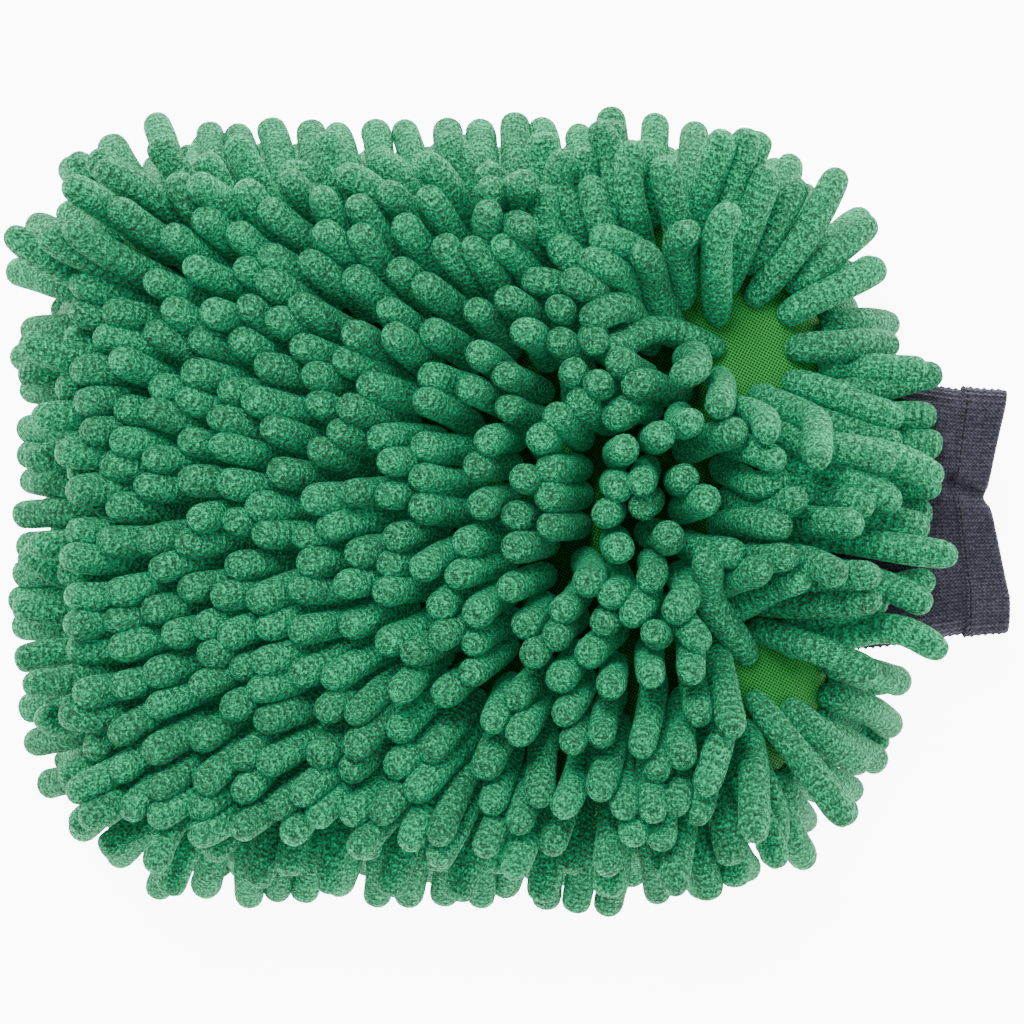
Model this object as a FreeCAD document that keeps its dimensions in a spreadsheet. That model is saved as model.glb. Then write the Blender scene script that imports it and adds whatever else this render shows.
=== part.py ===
import FreeCAD, Part
import math
import os
import Sketcher
from FreeCAD import Placement, Rotation, Vector

# Wash mitt: a bag of knitted mesh with tufted microfibre noodles all over, a smooth
# lining for the hand and a ribbed wrist cuff. It lies on its lower face.
# +X runs from the finger end to the cuff, +Y to one side, +Z up. The origin is under
# the middle of the whole mitt, on the surface that it lies on.

os.makedirs("parts", exist_ok=True)
doc = FreeCAD.newDocument("wash_mitt")

# ---------------------------------------------------------------- driving dimensions

DIMENSIONS = {
    "total_length": 264.0,
    "bag_width": 168.0,
    "bag_length": 194.0,
    "bag_thickness": 22.0,
    "rim_radius": 10.5,
    "finger_radius": 34.0,
    "wrist_radius": 50.0,
    "backing_wall": 1.2,
    "lining_wall": 1.0,
    "lining_gap": 0.3,
    "edge_seam_width": 1.0,
    "edge_seam_depth": 2.4,
    "noodle_diameter": 7.6,
    "noodle_length": 36.0,
    "pressed_length": 16.0,
    "side_noodle_length": 21.0,
    "row_pitch": 8.9,
    "noodle_pitch": 7.8,
    "side_pitch": 8.6,
    "rim_clearance": 3.2,
    "cuff_width": 72.0,
    "cuff_thickness": 15.0,
    "cuff_wall": 1.6,
    "cuff_inside_bag": 11.0,
    "hem_length": 12.0,
    "hem_wall": 3.2,
    "hem_fold": 1.1,
    "elastic_play": 0.1,
    "mouth_clearance": 0.3,
    "stitch_width": 1.2,
    "stitch_thickness": 0.5,
}

sizes = doc.addObject("Spreadsheet::Sheet", "sizes")
for row, (alias, value) in enumerate(DIMENSIONS.items(), start=1):
    sizes.set(f"A{row}", alias)
    sizes.set(f"B{row}", str(value))
    sizes.setAlias(f"B{row}", alias)
doc.recompute()


def size(alias):
    return float(sizes.get(alias))


# Places that several pieces share, as expressions on the sheet and as numbers.
MIDDLE = "(sizes.pressed_length + sizes.bag_thickness / 2)"
BAG_BACK = "(sizes.side_noodle_length + sizes.edge_seam_width - sizes.total_length / 2)"
BAG_FRONT = f"({BAG_BACK} + sizes.bag_length)"
CUFF_START = f"({BAG_FRONT} - sizes.cuff_inside_bag)"
HEM_START = "(sizes.total_length / 2 - sizes.hem_length)"

bag_back = size("side_noodle_length") + size("edge_seam_width") - size("total_length") / 2
bag_front = bag_back + size("bag_length")
middle = size("pressed_length") + size("bag_thickness") / 2
noodle_radius = size("noodle_diameter") / 2

sub_parts = []


def keep(item, label):
    """Gives a finished sub-part its name, and lists it for the export."""
    item.Label = label
    sub_parts.append(item)
    return item


# ------------------------------------------------------------------- sketch and body


def new_body(name, x_place="0", z_place=MIDDLE):
    body = doc.addObject("PartDesign::Body", name)
    body.setExpression("Placement.Base.x", x_place)
    body.setExpression("Placement.Base.z", z_place)
    return body


def plane_sketch(body, role, name):
    """An empty sketch on one of the body's own origin planes."""
    sketch = body.newObject("Sketcher::SketchObject", name)
    plane = next(p for p in body.Origin.OriginFeatures if p.Role == role)
    sketch.AttachmentSupport = (plane, "")
    sketch.MapMode = "FlatFace"
    return sketch


def rectangle(sketch, low_x, high_x, low_y, high_y):
    """A rectangle with its four sides held at the given expressions."""
    corners = [Vector(-1, -1), Vector(1, -1), Vector(1, 1), Vector(-1, 1)]
    for start, end in zip(corners, corners[1:] + corners[:1]):
        sketch.addGeometry(Part.LineSegment(start, end), False)
    for line in range(4):
        sketch.addConstraint(Sketcher.Constraint("Coincident", line, 2, (line + 1) % 4, 1))
    for line, direction in enumerate(["Horizontal", "Vertical"] * 2):
        sketch.addConstraint(Sketcher.Constraint(direction, line))
    origin = (-1, 1)
    places = [("DistanceX", 0, low_x), ("DistanceX", 2, high_x),
              ("DistanceY", 0, low_y), ("DistanceY", 2, high_y)]
    for kind, line, place in places:
        sign = -1.0 if place in (low_x, low_y) else 1.0
        index = sketch.addConstraint(Sketcher.Constraint(kind, *origin, line, 1, sign))
        sketch.setExpression(f"Constraints[{index}]", place)


def pad(body, sketch, name, length, backwards=False):
    feature = body.newObject("PartDesign::Pad", name)
    feature.Profile = sketch
    feature.setExpression("Length", length)
    feature.Reversed = backwards
    sketch.Visibility = False
    doc.recompute()
    return feature


def edges_where(feature, test):
    return [f"Edge{i}" for i, edge in enumerate(feature.Shape.Edges, 1) if test(edge)]


def faces_where(feature, test):
    return [f"Face{i}" for i, face in enumerate(feature.Shape.Faces, 1) if test(face)]


def runs_along(edge, direction):
    """True for a straight edge that is parallel to the given axis."""
    if not isinstance(edge.Curve, Part.Line):
        return False
    return abs(abs(edge.Curve.Direction.dot(direction)) - 1) < 1e-6


def fillet(body, base, name, edges, radius):
    feature = body.newObject("PartDesign::Fillet", name)
    feature.Base = (base, edges)
    feature.setExpression("Radius", radius)
    doc.recompute()
    return feature


def hollow(body, base, name, open_faces, wall):
    """Leaves an even wall inside the base's outer shape, open at the given faces."""
    feature = body.newObject("PartDesign::Thickness", name)
    feature.Base = (base, open_faces)
    feature.setExpression("Value", wall)
    feature.Reversed = True
    feature.Join = 0
    doc.recompute()
    return feature


def cut_mouth(body, base, name, half_depth):
    """Opens the wrist end, as wide as the cuff and half_depth above and below."""
    sketch = plane_sketch(body, "YZ_Plane", name + "_outline")
    half_width = "sizes.cuff_width / 2 + sizes.mouth_clearance"
    rectangle(sketch, f"-({half_width})", half_width, f"-({half_depth})", half_depth)
    pocket = body.newObject("PartDesign::Pocket", name)
    pocket.Profile = sketch
    pocket.Type = 1
    pocket.Reversed = True
    sketch.Visibility = False
    doc.recompute()
    if pocket.Shape.Volume >= base.Shape.Volume:
        raise RuntimeError(f"{name} cuts nothing")


# ------------------------------------------------- bag skins, upper and lower halves


def bag_outline(body, name, inset, length, backwards=False):
    """The bag's rounded plan, inset from its edge and padded from the middle plane."""
    sketch = plane_sketch(body, "XY_Plane", name + "_plan")
    rectangle(sketch, f"{BAG_BACK} + {inset}", f"{BAG_FRONT} - ({inset})",
              f"-(sizes.bag_width / 2 - ({inset}))", f"sizes.bag_width / 2 - ({inset})")
    block = pad(body, sketch, name + "_block", length, backwards)
    centre_x = block.Shape.BoundBox.Center.x
    up = Vector(0, 0, 1)
    at_fingers = edges_where(
        block, lambda e: runs_along(e, up) and e.CenterOfMass.x < centre_x)
    rounded = fillet(body, block, name + "_fingers", at_fingers,
                     f"sizes.finger_radius - ({inset})")
    at_wrist = edges_where(
        rounded, lambda e: runs_along(e, up) and e.CenterOfMass.x > bag_front - 5)
    return fillet(body, rounded, name + "_wrist", at_wrist,
                  f"sizes.wrist_radius - ({inset})")


def bag_half(name, inset, wall, upward):
    """One soft tray: half of a flat bag with a round rim, open at the middle plane."""
    body = new_body(name)
    height = f"sizes.bag_thickness / 2 - ({inset})"
    block = bag_outline(body, name, inset, height, backwards=not upward)
    box = block.Shape.BoundBox
    far = box.ZMax if upward else box.ZMin
    far_edges = edges_where(
        block, lambda e: abs(e.BoundBox.ZMin - far) < 1e-4 and abs(e.BoundBox.ZMax - far) < 1e-4)
    domed = fillet(body, block, name + "_rim", far_edges, f"sizes.rim_radius - ({inset})")
    open_face = faces_where(
        domed, lambda f: abs(f.BoundBox.ZMin) < 1e-4 and abs(f.BoundBox.ZMax) < 1e-4)
    tray = hollow(body, domed, name + "_wall", open_face, wall)
    cut_mouth(body, tray, name + "_mouth", "sizes.cuff_thickness / 2 + sizes.mouth_clearance")
    return keep(body, name)


LINING_INSET = "sizes.backing_wall + sizes.lining_gap"
bag_half("upper_backing", "0", "sizes.backing_wall", upward=True)
bag_half("lower_backing", "0", "sizes.backing_wall", upward=False)
bag_half("upper_lining", LINING_INSET, "sizes.lining_wall", upward=True)
bag_half("lower_lining", LINING_INSET, "sizes.lining_wall", upward=False)


def bag_edge_seam(name):
    """The overlocked edge that joins the bag's halves, a band round the middle plane."""
    outset = "0 - sizes.edge_seam_width"
    body = new_body(name, z_place=f"{MIDDLE} - sizes.edge_seam_depth / 2")
    block = bag_outline(body, name, outset, "sizes.edge_seam_depth")
    ends = faces_where(block, lambda f: f.BoundBox.ZLength < 1e-4)
    band = hollow(body, block, name + "_wall", ends, "sizes.edge_seam_width")
    cut_mouth(body, band, name + "_mouth", "sizes.edge_seam_depth * 2")
    return keep(body, name)


bag_edge_seam("edge_seam")

# -------------------------------------------------------------- cuff, hem and stitching


def flat_tube(name, start, length, outset, wall):
    """A flattened tube about the wrist axis, outset from the cuff's own outside."""
    body = new_body(name, x_place=start)
    sketch = plane_sketch(body, "YZ_Plane", name + "_section")
    half_width = f"sizes.cuff_width / 2 + {outset}"
    half_depth = f"sizes.cuff_thickness / 2 + {outset}"
    rectangle(sketch, f"-({half_width})", half_width, f"-({half_depth})", half_depth)
    block = pad(body, sketch, name + "_block", length)
    long_edges = edges_where(block, lambda e: runs_along(e, Vector(1, 0, 0)))
    almost_round = 0.98
    rounded = fillet(body, block, name + "_sides", long_edges,
                     f"({half_depth}) * {almost_round}")
    ends = faces_where(rounded, lambda f: f.BoundBox.XLength < 1e-4)
    hollow(body, rounded, name + "_wall", ends, wall)
    return body


keep(flat_tube("cuff", CUFF_START, f"{HEM_START} - {CUFF_START}", "0", "sizes.cuff_wall"),
     "cuff")

# The hem is the cuff's end folded back on itself, so its section is a U round the elastic.
HEM_OUTSET = "(sizes.hem_wall - sizes.cuff_wall) / 2"
hem_tube = flat_tube("hem_tube", HEM_START, "sizes.hem_length", HEM_OUTSET, "sizes.hem_wall")
hem_groove = flat_tube(
    "hem_groove", f"{HEM_START}", "sizes.hem_length - sizes.hem_fold",
    f"{HEM_OUTSET} - sizes.hem_fold", "sizes.hem_wall - 2 * sizes.hem_fold")
hem = doc.addObject("Part::Cut", "hem")
hem.Base = hem_tube
hem.Tool = hem_groove
keep(hem, "cuff_hem")

keep(flat_tube(
    "elastic", f"{HEM_START} + sizes.hem_fold", "sizes.hem_length - 2.5 * sizes.hem_fold",
    f"{HEM_OUTSET} - sizes.hem_fold - sizes.elastic_play",
    "sizes.hem_wall - 2 * sizes.hem_fold - 2 * sizes.elastic_play"), "cuff_elastic")

keep(flat_tube(
    "hem_thread", f"{HEM_START} - 2 * sizes.stitch_width", "sizes.stitch_width",
    "sizes.stitch_thickness", "sizes.stitch_thickness"), "hem_stitching")

# The cuff's inner end is overlocked to the bag's mouth, just outside the bag.
keep(flat_tube(
    "join_thread", f"{BAG_FRONT} + sizes.stitch_width", "2 * sizes.stitch_width",
    "sizes.stitch_thickness", "sizes.stitch_thickness"), "cuff_join_stitching")

# ------------------------------------------------------------------- microfibre noodles


def edge_distance(x, y):
    """Depth of a plan point inside the bag's edge, and the way out to that edge."""
    centre = (bag_back + bag_front) / 2
    side_x = 1.0 if x >= centre else -1.0
    side_y = 1.0 if y >= 0 else -1.0
    radius = size("wrist_radius") if side_x > 0 else size("finger_radius")
    over_x = abs(x - centre) - size("bag_length") / 2 + radius
    over_y = abs(y) - size("bag_width") / 2 + radius
    if over_x > 0 and over_y > 0:
        reach = math.hypot(over_x, over_y)
        return radius - reach, Vector(side_x * over_x, side_y * over_y, 0) / reach
    if over_x > over_y:
        return radius - over_x, Vector(side_x, 0, 0)
    return radius - over_y, Vector(0, side_y, 0)


def noodle(length):
    """One noodle standing on the origin along +Z, with a round tip."""
    shoulder = length - noodle_radius
    corner = noodle_radius * math.sqrt(0.5)
    side = Part.LineSegment(Vector(noodle_radius, 0, 0), Vector(noodle_radius, 0, shoulder))
    tip = Part.Arc(Vector(noodle_radius, 0, shoulder),
                   Vector(corner, 0, shoulder + corner), Vector(0, 0, length))
    axis = Part.LineSegment(Vector(0, 0, length), Vector(0, 0, 0))
    foot = Part.LineSegment(Vector(0, 0, 0), Vector(noodle_radius, 0, 0))
    profile = Part.Face(Part.Wire([c.toShape() for c in (side, tip, axis, foot)]))
    return profile.revolve(Vector(0, 0, 0), Vector(0, 0, 1), 360)


def set_at(shape, place, direction):
    """A copy of a shape moved to a place, with its +Z turned to a direction."""
    placed = shape.copy()
    placed.Placement = Placement(place, Rotation(Vector(0, 0, 1), direction))
    return placed


def tuft(x, y, face):
    """The noodle at a plan point of the upper (face 1) or lower (face -1) skin."""
    depth, outward = edge_distance(x, y)
    if depth < size("rim_clearance"):
        return None
    rim = size("rim_radius")
    sine = max(0.0, rim - depth) / rim
    cosine = math.sqrt(1 - sine * sine)
    direction = outward * sine + Vector(0, 0, face * cosine)
    skin = face * (size("bag_thickness") / 2 - rim + rim * cosine)
    root = Vector(x, y, middle + skin)
    if face > 0:
        return set_at(noodle(size("noodle_length")), root, direction)
    if sine < 1e-9:
        # The mitt's weight presses these flat on the surface that it lies on.
        return set_at(Part.makeCylinder(noodle_radius, root.z), root, direction)
    leaning_length = noodle_radius + (root.z - noodle_radius) / cosine
    return set_at(noodle(min(leaning_length, size("side_noodle_length"))), root, direction)


def keep_group(solids, label):
    """A node that holds many separate, alike noodles."""
    group = doc.addObject("Part::Feature", label)
    group.Shape = Part.makeCompound(solids)
    group.Placement = Placement()
    return keep(group, label)


def row_centres(available, pitch):
    """Even places about zero that fit in the available length."""
    count = int(available / pitch) + 1
    return [(i - (count - 1) / 2) * pitch for i in range(count)]


plan_centre = (bag_back + bag_front) / 2
along = row_centres(size("bag_length") - 2 * size("rim_clearance"), size("row_pitch"))
across = size("bag_width") - 2 * size("rim_clearance")
for face, side in ((1, "upper"), (-1, "lower")):
    for number, row_x in enumerate(along, start=1):
        # Every other row is shifted by half a pitch, so it holds one noodle fewer.
        staggered = across - size("noodle_pitch") * (number % 2)
        places = row_centres(staggered, size("noodle_pitch"))
        tufts = [tuft(plan_centre + row_x, y, face) for y in places]
        keep_group([t for t in tufts if t], f"{side}_noodle_row_{number:02d}")


def rim_places():
    """Plan points all round the bag's edge, evenly spaced, each with its way out."""
    half = size("bag_width") / 2
    fingers = size("finger_radius")
    wrist = size("wrist_radius")
    mouth = size("cuff_width") / 2 + size("noodle_diameter")
    straight_side = size("bag_length") - fingers - wrist
    lengths = [half - wrist - mouth, wrist * math.pi / 2, straight_side,
               fingers * math.pi / 2, half - fingers]
    total = sum(lengths)
    count = int(total / size("side_pitch"))
    for i in range(count + 1):
        along_rim = total * i / count
        for part, length in enumerate(lengths):
            if along_rim <= length + 1e-9:
                break
            along_rim -= length
        if part == 0:
            yield Vector(bag_front, mouth + along_rim, 0), Vector(1, 0, 0)
        elif part == 1:
            turn = along_rim / wrist
            out = Vector(math.cos(turn), math.sin(turn), 0)
            yield Vector(bag_front - wrist, half - wrist, 0) + out * wrist, out
        elif part == 2:
            yield Vector(bag_front - wrist - along_rim, half, 0), Vector(0, 1, 0)
        elif part == 3:
            turn = along_rim / fingers
            out = Vector(-math.sin(turn), math.cos(turn), 0)
            yield Vector(bag_back + fingers, half - fingers, 0) + out * fingers, out
        else:
            yield Vector(bag_back, half - fingers - along_rim, 0), Vector(-1, 0, 0)


# Left and right are the mitt's own, as it is worn with the fingers towards -X.
rim_groups = {name: [] for name in (
    "left_side_noodles", "right_side_noodles", "finger_end_noodles",
    "left_shoulder_noodles", "right_shoulder_noodles")}
side_noodle = noodle(size("side_noodle_length"))
steep = math.sqrt(0.5)
for place, outward in rim_places():
    for mirror, hand in ((1, "right"), (-1, "left")):
        if mirror < 0 and place.y < 1e-6:
            continue
        foot_place = place + outward * size("edge_seam_width")
        foot = Vector(foot_place.x, mirror * foot_place.y, middle)
        way = Vector(outward.x, mirror * outward.y, 0)
        if outward.x < -steep:
            group = "finger_end_noodles"
        elif outward.x > steep:
            group = f"{hand}_shoulder_noodles"
        else:
            group = f"{hand}_side_noodles"
        rim_groups[group].append(set_at(side_noodle, foot, way))
for name, solids in rim_groups.items():
    keep_group(solids, name)

# ---------------------------------------------------------------------- check and export

doc.recompute()
for item in doc.Objects:
    if "Invalid" in item.State or "Error" in item.State:
        raise RuntimeError(f"{item.Label} failed: {item.State}")
for item in sub_parts:
    if item.Shape.isNull() or not item.Shape.isValid():
        raise RuntimeError(f"{item.Label} has no valid shape")
    item.Shape.exportStep(f"parts/{item.Label}.step")

whole = Part.makeCompound([item.Shape for item in sub_parts]).BoundBox
print(f"{len(sub_parts)} sub-parts, {sum(len(i.Shape.Solids) for i in sub_parts)} solids")
print(f"X {whole.XMin:.2f} to {whole.XMax:.2f}")
print(f"Y {whole.YMin:.2f} to {whole.YMax:.2f}")
print(f"Z {whole.ZMin:.2f} to {whole.ZMax:.2f}")
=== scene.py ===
import math

import bmesh
import bpy
import numpy as np
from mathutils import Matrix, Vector
from mathutils.kdtree import KDTree


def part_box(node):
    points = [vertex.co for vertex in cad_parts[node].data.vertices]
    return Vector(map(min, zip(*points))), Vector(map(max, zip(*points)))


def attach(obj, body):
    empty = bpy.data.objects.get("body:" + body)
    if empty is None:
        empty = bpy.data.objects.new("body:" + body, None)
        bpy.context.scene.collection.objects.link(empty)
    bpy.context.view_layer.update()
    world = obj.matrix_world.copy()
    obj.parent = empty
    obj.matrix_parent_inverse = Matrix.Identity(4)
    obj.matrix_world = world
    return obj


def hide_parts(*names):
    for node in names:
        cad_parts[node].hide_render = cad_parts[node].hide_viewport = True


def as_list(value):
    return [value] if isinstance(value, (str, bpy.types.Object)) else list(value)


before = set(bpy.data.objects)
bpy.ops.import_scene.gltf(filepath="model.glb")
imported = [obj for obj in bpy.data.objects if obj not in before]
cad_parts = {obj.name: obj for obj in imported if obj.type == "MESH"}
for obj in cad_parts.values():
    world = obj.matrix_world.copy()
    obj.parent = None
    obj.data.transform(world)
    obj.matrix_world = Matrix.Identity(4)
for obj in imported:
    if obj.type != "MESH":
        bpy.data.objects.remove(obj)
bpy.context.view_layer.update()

# ---------------------------------------------------------------------------- camera
# The mitt is seen from straight above, lying on its lower face with its cuff to the
# right, from far enough away that the sides of the pile hardly show.

CAMERA_HEIGHT = 0.95
VIEW_WIDTH = 0.271        # what the camera takes in, at the height of the bag
SENSOR_WIDTH = 0.036

bag_low = Vector(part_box("lower_backing")[0])
bag_high = Vector(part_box("upper_backing")[1])
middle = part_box("upper_backing")[0][2]

camera_data = bpy.data.cameras.new("camera")
camera_data.sensor_width = SENSOR_WIDTH * 1000
camera_data.lens = 1000 * SENSOR_WIDTH * (CAMERA_HEIGHT - middle) / VIEW_WIDTH
camera_data.clip_start = 0.05
camera = bpy.data.objects.new("camera", camera_data)
camera.location = (0.0, 0.0, CAMERA_HEIGHT)
bpy.context.scene.collection.objects.link(camera)
bpy.context.scene.camera = camera

# ------------------------------------------------------------------- floor and lights
# A white sweep that is lit from below, a large soft lamp over the far side, a second
# that fills from the near side, and an even white surround.

FLOOR_SIZE = 6.0
FLOOR_DROP = 0.0005        # keeps the floor just clear of the lowest noodles
FLOOR_GLOW = 9.0
SURROUND = 0.80


def new_object(name, mesh):
    made = bpy.data.objects.new(name, mesh)
    bpy.context.scene.collection.objects.link(made)
    return made


def area_lamp(name, place, aim, size, watts):
    data = bpy.data.lights.new(name, "AREA")
    data.shape = "DISK"
    data.size = size
    data.energy = watts
    lamp = new_object(name, data)
    lamp.location = place
    lamp.rotation_euler = (Vector(aim) - Vector(place)).to_track_quat("-Z", "Y").to_euler()


floor_shape = bmesh.new()
bmesh.ops.create_grid(floor_shape, x_segments=1, y_segments=1, size=FLOOR_SIZE / 2)
floor_mesh = bpy.data.meshes.new("floor")
floor_shape.to_mesh(floor_mesh)
floor_shape.free()
floor = new_object("floor", floor_mesh)
floor.location.z = -FLOOR_DROP

floor_material = bpy.data.materials.new("pale_sweep")
floor_material.use_nodes = True
floor_surface = floor_material.node_tree.nodes["Principled BSDF"]
floor_surface.inputs["Base Color"].default_value = (0.93, 0.93, 0.93, 1)
floor_surface.inputs["Roughness"].default_value = 0.9
floor_surface.inputs["Specular IOR Level"].default_value = 0.1
floor_surface.inputs["Emission Color"].default_value = (1, 1, 1, 1)
floor_surface.inputs["Emission Strength"].default_value = FLOOR_GLOW
floor_mesh.materials.append(floor_material)

area_lamp("key", (-0.35, 1.0, 1.4), (0, 0, 0), 0.9, 66)
area_lamp("fill", (1.0, -0.7, 1.4), (0, 0, 0), 1.4, 21)

world = bpy.data.worlds.new("surround")
world.use_nodes = True
world.node_tree.nodes["Background"].inputs["Color"].default_value = (1, 1, 1, 1)
world.node_tree.nodes["Background"].inputs["Strength"].default_value = SURROUND
bpy.context.scene.world = world

# ---------------------------------------------------------------------------- backing
# The bag that the noodles are tufted into: two panels of springy yellow-green mesh, cut
# alike and sewn together round the edge, with a gap at the wrist for the cuff.

RIM_RADIUS = 0.0105
FINGER_RADIUS = 0.034
WRIST_RADIUS = 0.050
SEAM_WIDTH = 0.001
BACKING_WALL = 0.0012
MESH_PITCH = 0.00075

seam_low, seam_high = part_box("edge_seam")
plan_centre = (seam_low[0] + seam_high[0]) / 2
half_length = (seam_high[0] - seam_low[0]) / 2 - SEAM_WIDTH
half_width = (seam_high[1] - seam_low[1]) / 2 - SEAM_WIDTH
half_thickness = (bag_high.z - bag_low.z) / 2
cuff_low, cuff_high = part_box("cuff")
cuff_half_width = (cuff_high[1] - cuff_low[1]) / 2
cuff_half_depth = (cuff_high[2] - cuff_low[2]) / 2


def add_node(tree, kind, **settings):
    """A shader node with its properties set, and its inputs by name."""
    made = tree.nodes.new(kind)
    for key, value in settings.pop("inputs", {}).items():
        made.inputs[key].default_value = value
    for key, value in settings.items():
        setattr(made, key, value)
    return made


def blend_stops(ramp, *stops):
    """Sets a colour ramp's stops, each a position and a colour."""
    while len(ramp.color_ramp.elements) < len(stops):
        ramp.color_ramp.elements.new(1.0)
    for element, (position, colour) in zip(ramp.color_ramp.elements, stops):
        element.position = position
        element.color = (*colour, 1)


def cloth_material(name, roughness, sheen=0.0, sheen_tint=(1, 1, 1)):
    """A principled surface for one fabric, with its sheen on its own sockets."""
    made = bpy.data.materials.new(name)
    made.use_nodes = True
    surface = made.node_tree.nodes["Principled BSDF"]
    surface.inputs["Roughness"].default_value = roughness
    surface.inputs["Specular IOR Level"].default_value = 0.15
    surface.inputs["Sheen Weight"].default_value = sheen
    surface.inputs["Sheen Roughness"].default_value = 0.6
    surface.inputs["Sheen Tint"].default_value = (*sheen_tint, 1)
    return made, made.node_tree, surface


def smooth(shape):
    for face in shape.faces:
        face.smooth = True


def rim_point(way_x, way_y):
    """Where the bag's rim core lies in a direction of the unit square, and the way out."""
    core = RIM_RADIUS
    across = way_x * (half_length - core)
    up = way_y * (half_width - core)
    radius = (WRIST_RADIUS if way_x > 0 else FINGER_RADIUS) - core
    over_x = abs(across) - (half_length - core) + radius
    over_y = abs(up) - (half_width - core) + radius
    if over_x > 0 and over_y > 0:
        reach = math.hypot(over_x, over_y)
        out = Vector((math.copysign(over_x, way_x), math.copysign(over_y, way_y))) / reach
        corner = Vector((across, up)) - out * (reach - radius)
        return corner, out
    out = Vector((math.copysign(1, way_x), 0)) if over_x > over_y else Vector(
        (0, math.copysign(1, way_y)))
    return Vector((across, up)), out


FLAT_PART = 0.82           # the share of the grid that lies inside the round rim


def bag_panel(name, face, inset, wall):
    """Half of a soft bag: a grid that is bent down to the middle plane round its rim."""
    shape = bmesh.new()
    bmesh.ops.create_grid(shape, x_segments=84, y_segments=72, size=1.0)
    radius = RIM_RADIUS - inset
    for vertex in shape.verts:
        a, b = vertex.co.x, vertex.co.y
        most = max(abs(a), abs(b), 1e-6)
        core, out = rim_point(a / most, b / most)
        bend = max(0.0, most - FLAT_PART) / (1 - FLAT_PART) * math.pi / 2
        spread = min(most / FLAT_PART, 1.0)
        plan = core * spread + out * radius * math.sin(bend)
        rise = half_thickness - RIM_RADIUS + radius * math.cos(bend)
        slack = 0.0005 * (1 - spread) * math.sin(plan.x * 95 + 1) * math.sin(plan.y * 120)
        # The mouth is held open by the cuff that is sewn into it.
        round_side = max(abs(plan.y) - (cuff_half_width - cuff_half_depth), 0.0)
        if plan.x > 0 and round_side < cuff_half_depth:
            mouth = math.sqrt(cuff_half_depth ** 2 - round_side ** 2) + 0.0004 - inset
            rise = max(rise, mouth)
        vertex.co = (plan_centre + plan.x, plan.y, middle + face * (rise + slack))
    bmesh.ops.recalc_face_normals(shape, faces=shape.faces)
    if face * sum(f.normal.z * f.calc_area() for f in shape.faces) < 0:
        bmesh.ops.reverse_faces(shape, faces=shape.faces)
    smooth(shape)
    mesh = bpy.data.meshes.new(name)
    shape.to_mesh(mesh)
    shape.free()
    panel = new_object(name, mesh)
    thick = panel.modifiers.new("wall", "SOLIDIFY")
    thick.thickness = wall
    thick.offset = -1
    return panel


backing_material, tree, surface = cloth_material("knitted_mesh", 0.7)
place = add_node(tree, "ShaderNodeTexCoord")
turned = add_node(tree, "ShaderNodeMapping", inputs={"Rotation": (0, 0, math.radians(28))})
tree.links.new(place.outputs["Object"], turned.inputs["Vector"])
threads = []
for name, axis in (("courses", "X"), ("wales", "Y")):
    wave = add_node(tree, "ShaderNodeTexWave", wave_type="BANDS", bands_direction=axis,
                    inputs={"Scale": 2 * math.pi / MESH_PITCH / 20, "Distortion": 0.6,
                            "Detail Scale": 60.0})
    tree.links.new(turned.outputs["Vector"], wave.inputs["Vector"])
    threads.append(wave)
knots = add_node(tree, "ShaderNodeMath", operation="MAXIMUM")
tree.links.new(threads[0].outputs["Fac"], knots.inputs[0])
tree.links.new(threads[1].outputs["Fac"], knots.inputs[1])
thread_dye = add_node(tree, "ShaderNodeValToRGB")
blend_stops(thread_dye, (0.45, (0.0025, 0.0300, 0.0110)), (0.75, (0.0110, 0.1450, 0.0270)),
            (1.0, (0.0300, 0.3000, 0.0420)))
tree.links.new(knots.outputs["Value"], thread_dye.inputs["Fac"])
tree.links.new(thread_dye.outputs["Color"], surface.inputs["Base Color"])
mesh_relief = add_node(tree, "ShaderNodeBump", inputs={"Strength": 1.0, "Distance": 0.0004})
tree.links.new(knots.outputs["Value"], mesh_relief.inputs["Height"])
tree.links.new(mesh_relief.outputs["Normal"], surface.inputs["Normal"])

upper_backing = bag_panel("upper_backing_panel", 1, 0.0, BACKING_WALL)
lower_backing = bag_panel("lower_backing_panel", -1, 0.0, BACKING_WALL)
for panel, node in ((upper_backing, "upper_backing"), (lower_backing, "lower_backing")):
    panel.data.materials.append(backing_material)
    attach(panel, "root")
    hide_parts(node)

# ----------------------------------------------------------------------------- lining
# Two panels of smooth dark green knit inside the bag, so that the hand slides in.

LINING_WALL = 0.001
LINING_INSET = 0.0016

lining_material, tree, surface = cloth_material("smooth_knit", 0.8)
place = add_node(tree, "ShaderNodeTexCoord")
knit = add_node(tree, "ShaderNodeTexWave", wave_type="BANDS", bands_direction="Y",
                inputs={"Scale": 70.0, "Distortion": 2.0, "Detail Scale": 40.0})
tree.links.new(place.outputs["Object"], knit.inputs["Vector"])
knit_dye = add_node(tree, "ShaderNodeValToRGB")
blend_stops(knit_dye, (0.0, (0.003, 0.050, 0.020)), (1.0, (0.010, 0.110, 0.045)))
tree.links.new(knit.outputs["Fac"], knit_dye.inputs["Fac"])
tree.links.new(knit_dye.outputs["Color"], surface.inputs["Base Color"])
knit_relief = add_node(tree, "ShaderNodeBump", inputs={"Strength": 0.6, "Distance": 0.0002})
tree.links.new(knit.outputs["Fac"], knit_relief.inputs["Height"])
tree.links.new(knit_relief.outputs["Normal"], surface.inputs["Normal"])

for node, face in (("upper_lining", 1), ("lower_lining", -1)):
    panel = bag_panel(node + "_panel", face, LINING_INSET, LINING_WALL)
    panel.data.materials.append(lining_material)
    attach(panel, "root")
    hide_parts(node)

# ------------------------------------------------------------------------------- cuff
# A tube of black two-by-two rib knit, sewn into the mouth of the bag. It lies half
# folded, one side pushed back over the other, so a crease runs in from its end.

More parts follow.
